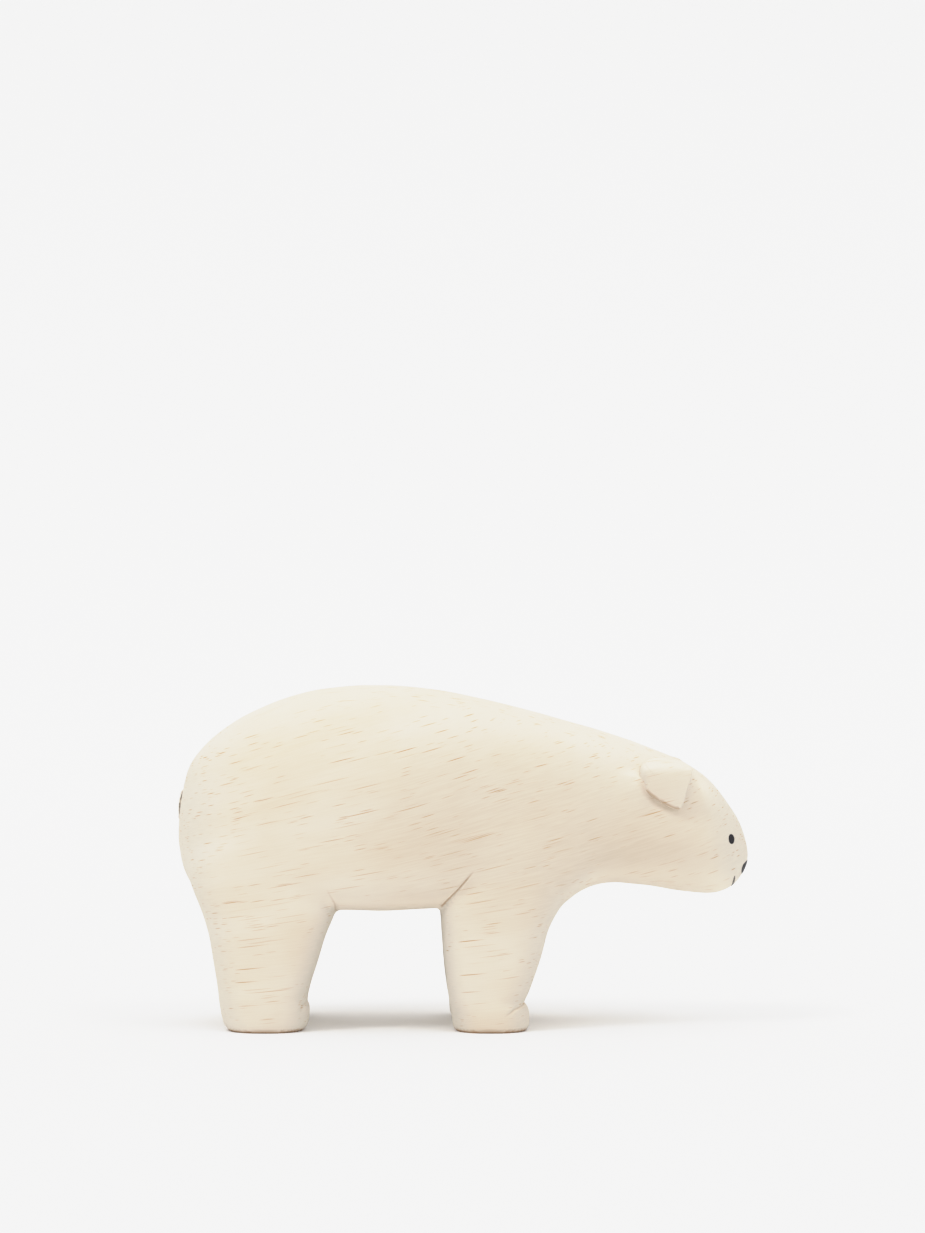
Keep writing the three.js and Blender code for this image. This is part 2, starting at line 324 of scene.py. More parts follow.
# Each cut's line is x, z on a side, and its fades are shares of its length. A negative depth swells the wood.
knifeCuts = {
    "shoulderCrease": {
        "line": [(-5.6, 32.0), (-1.2, 36.6), (3.0, 41.6)],
        "halfWidth": 0.5, "depth": 0.5, "fadeIn": 0.02, "fadeOut": 0.3, "reach": 14.0,
    },
    "haunchCrease": {
        "line": [(-32.4, 30.8), (-32.9, 33.2), (-34.8, 37.2)],
        "halfWidth": 1.1, "depth": 0.5, "fadeIn": 0.02, "fadeOut": 0.9, "reach": 14.0,
    },
    "frontPaw": {
        "line": [(17.6, 7.6), (13.5, 6.1), (12.6, 5.4), (10.4, 4.1)],
        "halfWidth": 0.65, "depth": 0.4, "fadeIn": 0.02, "fadeOut": 0.5, "reach": 12.0,
    },
    "hindPaw": {
        "line": [(-38.6, 8.4), (-40.8, 6.8), (-41.8, 4.6)],
        "halfWidth": 0.7, "depth": 0.4, "fadeIn": 0.02, "fadeOut": 0.5, "reach": 12.0,
    },
    "underEar": {
        "line": [(45.0, 64.4), (46.9, 60.9), (50.0, 58.4), (54.6, 56.3)],
        "halfWidth": 1.3, "depth": 0.2, "fadeIn": 0.35, "fadeOut": 0.25, "reach": 6.0,
    },
    "swellBehindEar": {
        "line": [(45.6, 67.6), (45.0, 64.6), (46.8, 61.4), (50.5, 58.6)],
        "halfWidth": 6.0, "depth": -1.7, "fadeIn": 0.5, "fadeOut": 0.45, "reach": 6.0,
    },
    "beforeEar": {
        "line": [(61.4, 67.0), (60.0, 61.4), (58.0, 56.6)],
        "halfWidth": 3.8, "depth": 0.45, "fadeIn": 0.3, "fadeOut": 0.4, "reach": 6.0,
    },
}
stainedAndShadedCuts = {  # width and strength of the brown in a cut: partly the cut's own brown, partly painted shade in the crease
    "shoulderCrease": (0.3, 0.75),
    "haunchCrease": (0.3, 0.45),
    "frontPaw": (0.3, 0.35),
    "hindPaw": (0.3, 0.15),
    # under the ear the brown is painted shade over the recess
    "underEar": (1.1, 0.24),
}

tail = {
    "place": (-74.2, 0.0, 57.2),
    "axis": (-0.99, 0.0, 0.13),
    "outline": [
        (0.0, -3.8), (1.9, -1.5), (2.6, 1.1), (2.0, 3.0), (0.0, 3.8), (-2.0, 3.0), (-2.6, 1.1), (-1.9, -1.5),
    ],
    "shares": (1.0, 0.998, 0.985, 0.95, 0.88, 0.75, 0.5, 0.25),
    "lifts": (0.2, 0.82, 0.96, 0.91, 0.72, 0.62, 0.61, 0.6),  # over the body, which dips in the groove
    # the rim's darkening is painted shadow of the gap at the tail's foot, with the glue line
    "tipFall": 0.02,  # share of the lift lost at the tips, by the square of the height in mm
    "rimShadow": 1.0,
    "rimWidth": 0.04,
    "depth": 1.2,
    "behind": -70.0,  # the bed and the groove are cut only behind this
    "grooveHalf": 0.4,
    # the groove's darkening is painted shadow of the gap round the tail
    "grooveDepth": 0.5,
    "grooveShadow": 1.0,
    "bedDepth": 0.5,
    "bedReach": (4.0, 14.0),  # the bed is full depth inside the first radius and gone at the second
    "bedNarrowing": 1.3,
}


# The outline of the tail on the rump, as y and z, closed.
def tailRim():
    corners = [(*spot, 0.0) for spot in tail["outline"]]
    rim = [(point.x, point.y + tail["place"][2]) for point in closedCurve(corners, 6)]
    return [*rim, rim[0]]


def buildBodyBlock():
    mesh = bmesh.new()
    rings, tailEnd, noseEnd = torsoRings()
    addLoft(mesh, rings, tailEnd, noseEnd)
    for side in (-1, 1):
        for name in ("front", "hind"):
            rings = legRings(name, side)
            addLoft(mesh, rings, ringCentre(rings[0]), ringCentre(rings[-1]))
    bmesh.ops.scale(mesh, vec=(mm, mm, mm), verts=mesh.verts)
    return newObject("carved_body", mesh)


def remesh(piece, voxel):
    modifier = piece.modifiers.new("oneBlock", "REMESH")
    modifier.mode = "VOXEL"
    modifier.voxel_size = voxel * mm
    scene = bpy.context.evaluated_depsgraph_get()
    made = bpy.data.meshes.new_from_object(piece.evaluated_get(scene))
    piece.modifiers.clear()
    piece.data = made


def readPoints(piece):
    places = np.empty(len(piece.data.vertices) * 3)
    piece.data.vertices.foreach_get("co", places)
    return places.reshape(-1, 3) / mm


def readNormals(piece):
    normals = np.empty(len(piece.data.vertices) * 3, dtype=np.float32)
    piece.data.vertex_normals.foreach_get("vector", normals)
    return normals.reshape(-1, 3).astype(float)


def writePoints(piece, places):
    piece.data.vertices.foreach_set("co", (places * mm).ravel())
    piece.data.update()


def readEdges(piece):
    edges = np.empty(len(piece.data.edges) * 2, dtype=np.int32)
    piece.data.edges.foreach_get("vertices", edges)
    return edges.reshape(-1, 2)


# The way from each point to the middle of its neighbours.
def towardsNeighbours(places, edges):
    count = len(places)
    links = np.bincount(edges.ravel(), minlength=count)[:, None]
    total = np.empty_like(places)
    for axis in range(3):
        total[:, axis] = np.bincount(edges[:, 0], places[edges[:, 1], axis], count)
        total[:, axis] += np.bincount(edges[:, 1], places[edges[:, 0], axis], count)
    return total / links - places


# Each round moves every point towards its neighbours, and then gives that back, so nothing shrinks.
def smoothPoints(places, edges, rounds):
    for _ in range(rounds):
        for pull in carving["softPulls"]:
            places = places + pull * towardsNeighbours(places, edges)
    return places


# Fills hollows like putty, batch by batch, and shaves bumps only a little.
def fillHollows(piece, weight):
    edges = readEdges(piece)
    for _ in range(carving["fillBatches"]):
        places, normals = readPoints(piece), readNormals(piece)
        for _ in range(carving["fillRounds"]):
            pull = towardsNeighbours(places, edges)
            out = (pull * normals).sum(axis=1, keepdims=True)
            slide = carving["slideShare"] * (pull - out * normals)
            lift = np.where(out > 0, out, carving["shaveShare"] * out) * normals
            places = places + carving["fillStep"] * weight[:, None] * (lift + slide)
        writePoints(piece, places)


def softBox(places, low, high, edge):
    mask = np.ones(len(places))
    for axis, values in enumerate((places[:, 0], np.abs(places[:, 1]), places[:, 2])):
        mask *= ease(values, low[axis] - 0.5 * edge, low[axis] + 0.5 * edge)
        mask *= 1.0 - ease(values, high[axis] - 0.5 * edge, high[axis] + 0.5 * edge)
    return mask


# Distance from each point to a cut, both seen flat, and how far along the cut it lies.
def alongCut(places, cut, axes=(0, 2)):
    flat = places[:, axes]
    nearest = np.full(len(places), 1e9)
    share = np.zeros(len(places))
    pieces = len(cut) - 1
    for index, (start, end) in enumerate(zip(cut, cut[1:])):
        start, run = np.array(start), np.array(end) - np.array(start)
        along = np.clip((flat - start) @ run / (run @ run), 0.0, 1.0)
        gap = np.linalg.norm(flat - start - along[:, None] * run, axis=1)
        share = np.where(gap < nearest, (index + along) / pieces, share)
        nearest = np.minimum(gap, nearest)
    return nearest, share


def sideFacing(places, normals, reach):
    outward = normals[:, 1] * np.sign(places[:, 1])
    return (np.abs(places[:, 1]) > reach) * ease(outward, *carving["sideFade"])


# Splits the faces near every cut, so that a narrow cut keeps its edges.
def splitNearCuts(piece):
    margin = carving["splitMargin"]
    for _ in range(carving["splitTimes"]):
        mesh = bmesh.new()
        mesh.from_mesh(piece.data)
        mesh.edges.ensure_lookup_table()
        middles = np.array([(edge.verts[0].co + edge.verts[1].co) / (2 * mm) for edge in mesh.edges])
        chosen = np.zeros(len(middles), dtype=bool)
        for cut in knifeCuts.values():
            gap, _ = alongCut(middles, cut["line"])
            near = gap < min(cut["halfWidth"], carving["splitMost"]) + margin
            chosen |= near & (np.abs(middles[:, 1]) > cut["reach"])
        gap, _ = alongCut(middles, tailRim(), (1, 2))
        chosen |= (gap < tail["grooveHalf"] + margin) & (middles[:, 0] < tail["behind"])
        edges = [edge for edge, picked in zip(mesh.edges, chosen) if picked]
        bmesh.ops.subdivide_edges(mesh, edges=edges, cuts=1, use_grid_fill=True)
        many = [face for face in mesh.faces if len(face.verts) > 4]
        bmesh.ops.triangulate(mesh, faces=many)
        mesh.to_mesh(piece.data)
        mesh.free()
        piece.data.update()


def carveCuts(piece):
    places, normals = readPoints(piece), readNormals(piece)
    stainAndShade = np.zeros(len(places))
    for name, cut in knifeCuts.items():
        gap, share = alongCut(places, cut["line"])
        alive = sideFacing(places, normals, cut["reach"])
        alive *= ease(share, 0.0, cut["fadeIn"]) * (1.0 - ease(share, 1.0 - cut["fadeOut"], 1.0))
        sunk = np.clip(1.0 - gap / cut["halfWidth"], 0.0, 1.0)
        if cut["halfWidth"] > carving["hollowFrom"]:
            sunk = ease(sunk, 0.0, 1.0)
        places = places - normals * (cut["depth"] * sunk * alive)[:, None]
        # The brown in a cut is partly the cut's own brown and partly painted shade in the crease; under the
        # ear it is painted shade over the recess.
        if name in stainedAndShadedCuts:
            width, strength = stainedAndShadedCuts[name]
            mark = np.clip(1.0 - gap / width, 0.0, 1.0) * np.sqrt(alive)
            stainAndShade = np.maximum(stainAndShade, strength * mark)
    behind = places[:, 0] < tail["behind"]
    fromTail = np.hypot(tail["bedNarrowing"] * places[:, 1], places[:, 2] - tail["place"][2])
    bed = (1.0 - ease(fromTail, *tail["bedReach"])) * behind
    places = places - normals * (tail["bedDepth"] * bed)[:, None]
    gap, _ = alongCut(places, tailRim(), (1, 2))
    sunk = np.clip(1.0 - gap / tail["grooveHalf"], 0.0, 1.0) * behind
    places = places - normals * (tail["grooveDepth"] * sunk)[:, None]
    # Painted shadow of the gap: the groove round the tail is darkened, with the glue line.
    stainAndShade = np.maximum(stainAndShade, tail["grooveShadow"] * np.sqrt(sunk))
    # Painted contact shadow: a dark brown band on the soles, fading up from the ground.
    sole = carving["soleShadow"] * (1.0 - places[:, 2] / carving["soleEdge"])
    stainAndShade = np.maximum(stainAndShade, np.clip(sole, 0.0, 1.0))
    writePoints(piece, places)
    held = piece.data.attributes.new("stainAndShade", "FLOAT", "POINT")
    held.data.foreach_set("value", stainAndShade)


# Broad shallow waves left by the knife and the sanding, made of a few slanted ripples.
def handCarved(places, normals):
    dice = np.random.default_rng(carving["seed"])
    height = np.zeros(len(places))
    for _ in range(carving["waves"]):
        direction = dice.normal(size=3)
        direction /= np.linalg.norm(direction)
        length = dice.uniform(*carving["waveLengths"])
        phase = dice.uniform(0.0, 2 * math.pi)
        height += np.sin(places @ direction * (2 * math.pi / length) + phase)
    height *= carving["waveHeight"] / math.sqrt(0.5 * carving["waves"])
    height *= ease(places[:, 2], *carving["waveFade"])
    return places + normals * height[:, None]


def carveBody():
    body = buildBodyBlock()
    remesh(body, carving["voxel"])
    places = smoothPoints(readPoints(body), readEdges(body), carving["softRounds"])
    blend = np.zeros(len(places))
    for low, high, edge in carving["blends"]:
        blend = np.maximum(blend, softBox(places, low, high, edge))
    writePoints(body, places)
    fillHollows(body, blend)
    places = handCarved(readPoints(body), readNormals(body))
    writePoints(body, places)
    splitNearCuts(body)
    carveCuts(body)
    places = readPoints(body)
    low, high = np.array(bearLow), np.array(bearHigh)
    places = np.clip(places, low, high)
    places[places[:, 2] < carving["soleFlat"], 2] = 0.0
    writePoints(body, places)
    print("body carved:", len(body.data.polygons), "faces")
    return body


ear = {
    "outline": [  # x, z seen from the side
        (45.7, 65.8), (46.6, 68.6), (49.6, 69.8), (54.4, 69.7), (58.2, 68.5), (59.1, 66.4),
        (57.9, 62.4), (55.9, 57.0), (50.6, 59.2), (47.0, 62.0),
    ],
    "steps": 12,
    "inner": 10.0,
    "crest": 20.7,  # how far out the fullest level stands
    "crestHeight": 65.4,
    "fallAbove": 0.065,
    "fallBelow": 0.055,
    "rearFall": 0.15,  # mm lost for each mm behind the middle of the ear
    "rearFrom": 55.0,
    "topRadius": 2.2,
    "rearRadius": 2.8,
    "crispRadius": 0.4,
    "topTurn": (0.1, 0.8),  # how far the edge must face up, or back, to be rounded so
    "rearTurn": (0.1, 0.7),
    "underTurn": 0.9,
    "levels": 40,
    "faceRings": 10,
    "line": [(46.2, 63.4), (47.0, 62.0), (50.6, 59.2), (55.9, 57.0)],
    "lineWidth": (0.2, 0.5),  # the brown line and its painted shade are full to the first distance and gone at the second
    "lineFade": 0.2,
    # how far down the wall below the ear's face the painted shade reaches
    "lineDepth": 0.6,
    "lineStainAndShade": 0.6,
}


def outlineNormals(outline):
    count = len(outline)
    normals = []
    for index in range(count):
        run = outline[(index + 1) % count] - outline[index - 1]
        normals.append(Vector((run.y, -run.x)).normalized())
    area = sum(a.x * b.y - b.x * a.y for a, b in zip(outline, outline[1:] + outline[:1]))
    return normals if area > 0 else [-normal for normal in normals]


# How far a rounded edge of one radius draws in at a depth below its top.
def roundedIn(depth, radius):
    if depth >= radius:
        return 0.0
    return radius - math.sqrt(max(radius**2 - (radius - depth) ** 2, 0.0))


# The outer face bulges most at its crest, and leans in behind.
def earFace(x, z):
    above = z - ear["crestHeight"]
    fall = ear["fallAbove"] * above**3 if above > 0 else ear["fallBelow"] * abs(above) ** 1.5
    return ear["crest"] - fall - ear["rearFall"] * max(0.0, ear["rearFrom"] - x)


def earRing(edge, share, side):
    ring = []
    for point, normal, radius in edge:
        depth = (1.0 - share) * (earFace(point.x, point.y) - ear["inner"])
        place = point - normal * roundedIn(depth, radius)
        out = earFace(place.x, place.y) - depth
        ring.append(Vector((place.x, side * out, place.y)))
    return ring


def buildEar(name, side):
    outline = closedCurve([(x, z) for x, z in ear["outline"]], ear["steps"])
    edge = []
    for point, normal in zip(outline, outlineNormals(outline)):
        top = float(ease(normal.y, *ear["topTurn"]))
        rear = float(ease(-normal.x - ear["underTurn"] * max(0.0, -normal.y), *ear["rearTurn"]))
        soft = max(top * ear["topRadius"], rear * ear["rearRadius"])
        edge.append((point, normal, max(soft, ear["crispRadius"])))
    mesh = bmesh.new()
    shares = [0.5 - 0.5 * math.cos(math.pi * level / ear["levels"]) for level in range(ear["levels"] + 1)]
    rings = [earRing(edge, share, side) for share in shares]
    middle = ringCentre(rings[-1])
    for step in range(1, ear["faceRings"]):
        ring = []
        for point in rings[ear["levels"]]:
            place = middle.lerp(point, 1.0 - step / ear["faceRings"])
            ring.append(Vector((place.x, side * earFace(place.x, place.z), place.z)))
        rings.append(ring)
    peak = Vector((middle.x, side * earFace(middle.x, middle.z), middle.z))
    addLoft(mesh, rings, ringCentre(rings[0]), peak)
    bmesh.ops.scale(mesh, vec=(mm, mm, mm), verts=mesh.verts)
    made = newObject(name, mesh)
    stainAndShadeEarLine(made)
    return made


# A brown line along the lower rear edge of each ear, reaching down the wall beneath the ear's face: partly
# the edge's own brown, partly painted shade on that downward wall.
def stainAndShadeEarLine(piece):
    places = readPoints(piece)
    gap, share = alongCut(places, ear["line"])
    below = np.array([earFace(x, z) for x, _, z in places]) - np.abs(places[:, 1])
    mark = np.clip(1.0 - below / ear["lineDepth"], 0.0, 1.0) * (1.0 - ease(gap, *ear["lineWidth"]))
    held = piece.data.attributes.new("stainAndShade", "FLOAT", "POINT")
    held.data.foreach_set("value", ear["lineStainAndShade"] * mark * ease(share, 0.0, ear["lineFade"]))


# A thin closed patch that lies on the body: rings run from its rim to its middle in the patch's own plane.
def buildPatch(name, surface, rings, shape, centre, axis):
    across = Vector((0, 0, 1)).cross(axis).normalized()
    upright = axis.cross(across)
    clear = 5.0  # how far outside the body each probe starts
    layers = [[], []]
    for ring, lift in zip(rings, shape["lifts"]):
        outer, inner = [], []
        for point in ring:
            start = centre + across * point.x + upright * point.y + axis * clear
            hit, normal, _, _ = surface.ray_cast(start * mm, -axis)
            hit = hit / mm
            outer.append(hit + normal * lift * (1.0 - shape["tipFall"] * point.y**2))
            inner.append(hit - axis * shape["depth"])
        layers[0].append(outer)
        layers[1].append(inner)
    mesh = bmesh.new()
    loops = layers[1][::-1] + layers[0]
    addLoft(mesh, loops, ringCentre(loops[0]), ringCentre(loops[-1]))
    bmesh.ops.scale(mesh, vec=(mm, mm, mm), verts=mesh.verts)
    return newObject(name, mesh)


def unevenOval(halfWidth, halfHeight, wobble, seed, sides=72):
    dice = np.random.default_rng(seed)
    phases = dice.uniform(0, 2 * math.pi, 4)
    points = []
    for side in range(sides):
        angle = 2 * math.pi * side / sides
        waves = sum(math.sin((k + 2) * angle + phase) / (k + 2) for k, phase in enumerate(phases))
        grown = 1.0 + wobble * waves
        points.append(Vector((halfWidth * math.cos(angle) * grown, halfHeight * math.sin(angle) * grown)))
    return points


def shrinking(outline, shares):
    middle = sum(outline, Vector((0, 0))) / len(outline)
    return [[middle.lerp(point, share) for point in outline] for share in shares]


marks = {
    "shares": (1.0, 0.97, 0.9, 0.75, 0.5, 0.25),
    "lifts": (0.005, 0.035, 0.05, 0.055, 0.06, 0.06),
    "tipFall": 0.0,
    "depth": 0.4,
    "eyeRadius": 1.3,
    "eyePlace": (69.9, 11.2, 48.9),
    "eyeAxis": (0.75, 0.66, 0.0),
    "nosePlace": (74.3, 0.0, 40.9),
    "noseAxis": (0.94, 0.0, -0.35),
    "noseHalf": (5.0, 2.08),
    "smilePlace": (71.0, 0.0, 35.9),
    "smileAxis": (0.64, 0.0, -0.77),
    "smileRadius": 11.9,
    "smileSpread": 0.59,
    "smileStroke": 0.36,
    "smileSteps": 40,
    "smileEnds": (8, 0.02),  # how late the stroke thins, and how thin it ends
    "wobble": 0.03,
    "eyeSeed": 11,
    "noseSeed": 21,
}


def buildEye(name, surface, side):
    centre = Vector(marks["eyePlace"])
    axis = Vector(marks["eyeAxis"]).normalized()
    centre.y *= side
    axis.y *= side
    outline = unevenOval(marks["eyeRadius"], marks["eyeRadius"], marks["wobble"], marks["eyeSeed"] + side)
    return buildPatch(name, surface, shrinking(outline, marks["shares"]), marks, centre, axis)


def buildNose(surface):
    centre, axis = Vector(marks["nosePlace"]), Vector(marks["noseAxis"]).normalized()
    outline = unevenOval(*marks["noseHalf"], marks["wobble"], marks["noseSeed"])
    return buildPatch("painted_nose", surface, shrinking(outline, marks["shares"]), marks, centre, axis)


# Loops round the middle line of the smile, each thinner than the last.
def buildSmile(surface):
    centre, axis = Vector(marks["smilePlace"]), Vector(marks["smileAxis"]).normalized()
    bend, steps = marks["smileRadius"], marks["smileSteps"]
    power, thinnest = marks["smileEnds"]
    rings = []
    for share in marks["shares"]:
        loop = []
        for edge, order in ((1, range(steps + 1)), (-1, range(steps, -1, -1))):
            for step in order:
                along = 2 * step / steps - 1
                angle = marks["smileSpread"] * along
                taper = math.sqrt(max(1.0 - along**power, thinnest))
                radius = bend + edge * share * marks["smileStroke"] * taper
                loop.append(Vector((radius * math.sin(angle), bend - radius * math.cos(angle))))
        rings.append(loop)
    return buildPatch("painted_smile", surface, rings, marks, centre, axis)


def buildTail(surface):
    centre, axis = Vector(tail["place"]), Vector(tail["axis"]).normalized()
    outline = [Vector((point.x, point.y)) for point in closedCurve(tail["outline"], 10)]
    made = buildPatch("glued_tail", surface, shrinking(outline, tail["shares"]), tail, centre, axis)
    # Painted shadow of the gap: the tail's rim is darkened where it meets the rump, with the glue line.
    gap, _ = alongCut(readPoints(made), tailRim(), (1, 2))
    held = made.data.attributes.new("stainAndShade", "FLOAT", "POINT")
    held.data.foreach_set("value", tail["rimShadow"] * np.clip(1.0 - gap / tail["rimWidth"], 0.0, 1.0))
    return made


grain = {
    "tilt": 14.0,  # degrees that the grain rises towards the head
    "levelOut": (0.0, 65.0, 0.4, 1.1),  # heights, and the shares of the tilt there: low legs lie almost level
    "thinOut": (5.0, 50.0, 0.7, 1.02),  # the same for how crowded the pores are
    "strayScale": 0.022,
    "wander": (0.3, 0.5),  # mm that a fibre strays sideways and up
    "flatten": 0.14,  # cells into the wood for each cell up it, so that every pore runs deep
    "crowds": (0.035, 0.09),  # cells per mm along and across the grain
    "pores": {  # the same, then size, how many show, and how dark the darkest is
        "long": ((0.034, 1.9), 0.25, 0.92, 1.0),
        "short": ((0.10, 2.4), 0.26, 0.52, 0.85),
        "streak": ((0.013, 1.0), 0.14, 0.5, 0.7),
    },
    "poreWidth": (0.5, 0.6),  # the least share of that size, and what chance adds
    "poreEdge": 0.35,
    "crowdShare": 1.6,
    "crowdShift": -0.8,
    "faintest": 0.3,
    "lying": (0.76, 0.9),  # how far up or down a surface faces where its pores are drawn from above
    "fibres": (0.10, 3.4),
    "bands": (0.010, 0.07),
}
woods = {  # each block's grain: its tilt in degrees, and a shift in mm that makes it its own
    "limewashedBody": (14.0, (0, 0, 0)),
    "limewashedEar": (11.0, (140, 60, 35)),
    "limewashedTail": (80.0, (35, 210, 90)),
}
finish = {  # places in metres; four numbers are the range of a value and what it becomes
    "pale": (0.715, 0.642, 0.548),
    "warm": (0.655, 0.555, 0.430),
    "cloudScale": 38.0,
    "cloudWarmth": (0.35, 0.7, 0.0, 0.4),
    "bandWarmth": (0.35, 0.7, 0.0, 0.6),
    "endGrain": (0.605, 0.568, 0.500),
    "endGrainShare": (0.2, 0.85, 0.0, 0.65),
    "thickCoatAndPaintedLight": (0.785, 0.695, 0.572),  # painted light: lighter colour on faces turned up or down, standing in for the top light on the back and the floor's bounce under the belly
    "paintedLightUpDown": (0.35, 0.95, 0.0, 0.45),
    "paintedSideShade": (0.535, 0.455, 0.350),  # painted shade: darker colour on the side-facing shoulders and flanks, which get less light than the back and belly
    "paintedSideShadeShare": 0.48,
    "sideShadePlace": (0.016, 0.0, 0.053),
    "sideShadeReach": (0.050, 1.0, 0.027),
    "sideShadeFade": (1.2, 0.4),
    "sideShadeFacing": (0.5, 0.95),
    "fibreLift": (0.3, 0.7, 0.0, 0.28),
    "fibrePale": 1.05,
    "pore": (0.460, 0.245, 0.070),
    "poreShare": 0.95,
    # brown of the cut lines and glue; the same colour paints the shade in creases, grooves, under the ears,
    # round the tail, and the contact shadow at the soles
    "stainAndShade": (0.330, 0.175, 0.075),
    "roughness": (0.25, 0.75, 0.77, 0.89),
    "specular": 0.25,
    "bump": 0.00012,
    "fibreHeight": 0.25,
    "poreHeight": -0.35,
}


# A small helper that lays out the nodes of one tree.
class NodeBench:
    def __init__(self, tree):
        self.tree = tree
        self.column = 0

    def add(self, kind, inputs=(), **settings):
        node = self.tree.nodes.new(kind)
        node.location = (180 * self.column, 0)
        self.column += 1
        for name, value in settings.items():
            setattr(node, name, value)
        for socket, value in dict(inputs).items():
            if isinstance(value, bpy.types.NodeSocket):
                self.tree.links.new(value, node.inputs[socket])
            else:
                node.inputs[socket].default_value = value
        return node

    def maths(self, operation, first, second=0.0, third=0.0):
        return self.add("ShaderNodeMath", {0: first, 1: second, 2: third}, operation=operation).outputs[0]

    def vector(self, operation, first, second):
        return self.add("ShaderNodeVectorMath", {0: first, 1: second}, operation=operation).outputs[0]

    def spread(self, value, low, high, toLow=0.0, toHigh=1.0):
        ranged = {"Value": value, "From Min": low, "From Max": high, "To Min": toLow, "To Max": toHigh}
        return self.add("ShaderNodeMapRange", ranged, interpolation_type="SMOOTHSTEP").outputs["Result"]

    def mix(self, share, first, second):
        node = self.add("ShaderNodeMix", {"Factor": share}, data_type="RGBA")
        for socket, value in (("A", first), ("B", second)):
            target = next(s for s in node.inputs if s.name == socket and s.type == "RGBA")
            if isinstance(value, bpy.types.NodeSocket):
                self.tree.links.new(value, target)
            else:
                target.default_value = (*value, 1.0)
        return next(s for s in node.outputs if s.type == "RGBA")


def newGroup(name, inputs, outputs):
    group = bpy.data.node_groups.new(name, "ShaderNodeTree")
    for label, kind, value in inputs:
        socket = group.interface.new_socket(label, in_out="INPUT", socket_type=kind)
        socket.default_value = value
    for label, kind in outputs:
        group.interface.new_socket(label, in_out="OUTPUT", socket_type=kind)
    bench = NodeBench(group)
    return group, bench, bench.add("NodeGroupInput"), group.nodes.new("NodeGroupOutput")


def grainGroup():
    inputs = (
        ("Place", "NodeSocketVector", (0, 0, 0)),
        ("Normal", "NodeSocketVector", (0, 0, 1)),
        ("Shift", "NodeSocketVector", (0, 0, 0)),
        ("Tilt", "NodeSocketFloat", 0.0),
    )
    outputs = (("Pores", "NodeSocketFloat"), ("Fibre", "NodeSocketFloat"), ("Bands", "NodeSocketFloat"))
    group, bench, given, result = newGroup("grainField", inputs, outputs)
    place = bench.vector("MULTIPLY", given.outputs["Place"], (1000, 1000, 1000))
    place = bench.vector("ADD", place, given.outputs["Shift"])
    stray = bench.add("ShaderNodeTexNoise", {"Vector": place, "Scale": grain["strayScale"], "Detail": 1.0})
    stray = bench.vector("SUBTRACT", stray.outputs["Color"], (0.5, 0.5, 0.5))
    reach = [5 * way for way in grain["wander"]]  # the noise itself strays only about a fifth
    stray = bench.vector("MULTIPLY", stray, (0, *reach))
    height = bench.add("ShaderNodeSeparateXYZ", {"Vector": place}).outputs["Z"]
    tilt = bench.maths("MULTIPLY", given.outputs["Tilt"], bench.spread(height, *grain["levelOut"]))
    turned = bench.add("ShaderNodeVectorRotate", {"Vector": place, "Angle": tilt}, rotation_type="Y_AXIS")
    turned = bench.vector("ADD", turned.outputs[0], stray)
    axes = bench.add("ShaderNodeSeparateXYZ", {"Vector": turned}).outputs
    laid = bench.add("ShaderNodeCombineXYZ", {"X": axes["X"], "Y": axes["Z"], "Z": axes["Y"]}).outputs[0]

    def stretched(along, across, field=turned):
        return bench.vector("MULTIPLY", field, (along, grain["flatten"] * across, across))

    crowds = stretched(*grain["crowds"])
    crowd = bench.add("ShaderNodeTexNoise", {"Vector": crowds, "Scale": 1.0, "Detail": 1.0})
    crowd = bench.maths("MULTIPLY", crowd.outputs["Fac"], bench.spread(height, *grain["thinOut"]))

    def poresIn(field):
        pores = None
        least, more = grain["poreWidth"]
        for spacing, size, chance, strength in grain["pores"].values():
            cells = bench.add("ShaderNodeTexVoronoi", {"Vector": stretched(*spacing, field), "Scale": 1.0})
            lot = bench.add("ShaderNodeSeparateColor", {"Color": cells.outputs["Color"]})
            width = bench.maths("MULTIPLY_ADD", lot.outputs["Green"], more * size, least * size)
            near = bench.maths("DIVIDE", cells.outputs["Distance"], width)
            spot = bench.spread(near, 1.0, grain["poreEdge"])
            wanted = bench.maths("MULTIPLY_ADD", crowd, grain["crowdShare"], chance + grain["crowdShift"])
            kept = bench.maths("LESS_THAN", lot.outputs["Red"], wanted)
            dark = bench.spread(lot.outputs["Blue"], 0.0, 1.0, grain["faintest"] * strength, strength)
            spot = bench.maths("MULTIPLY", bench.maths("MULTIPLY", spot, kept), dark)
            pores = spot if pores is None else bench.maths("MAXIMUM", pores, spot)
        return pores

    upright = bench.add("ShaderNodeSeparateXYZ", {"Vector": given.outputs["Normal"]}).outputs["Z"]
    lying = bench.spread(bench.maths("ABSOLUTE", upright), *grain["lying"])
    standing = bench.maths("MULTIPLY", poresIn(turned), bench.maths("SUBTRACT", 1.0, lying))
    pores = bench.maths("ADD", standing, bench.maths("MULTIPLY", poresIn(laid), lying))
    fibres, bands = stretched(*grain["fibres"]), stretched(*grain["bands"])
    fibre = bench.add("ShaderNodeTexNoise", {"Vector": fibres, "Scale": 1.0, "Detail": 3.0})
    bands = bench.add("ShaderNodeTexNoise", {"Vector": bands, "Scale": 1.0, "Detail": 2.0})
    group.links.new(pores, result.inputs["Pores"])
    group.links.new(fibre.outputs["Fac"], result.inputs["Fibre"])
    group.links.new(bands.outputs["Fac"], result.inputs["Bands"])
    return group


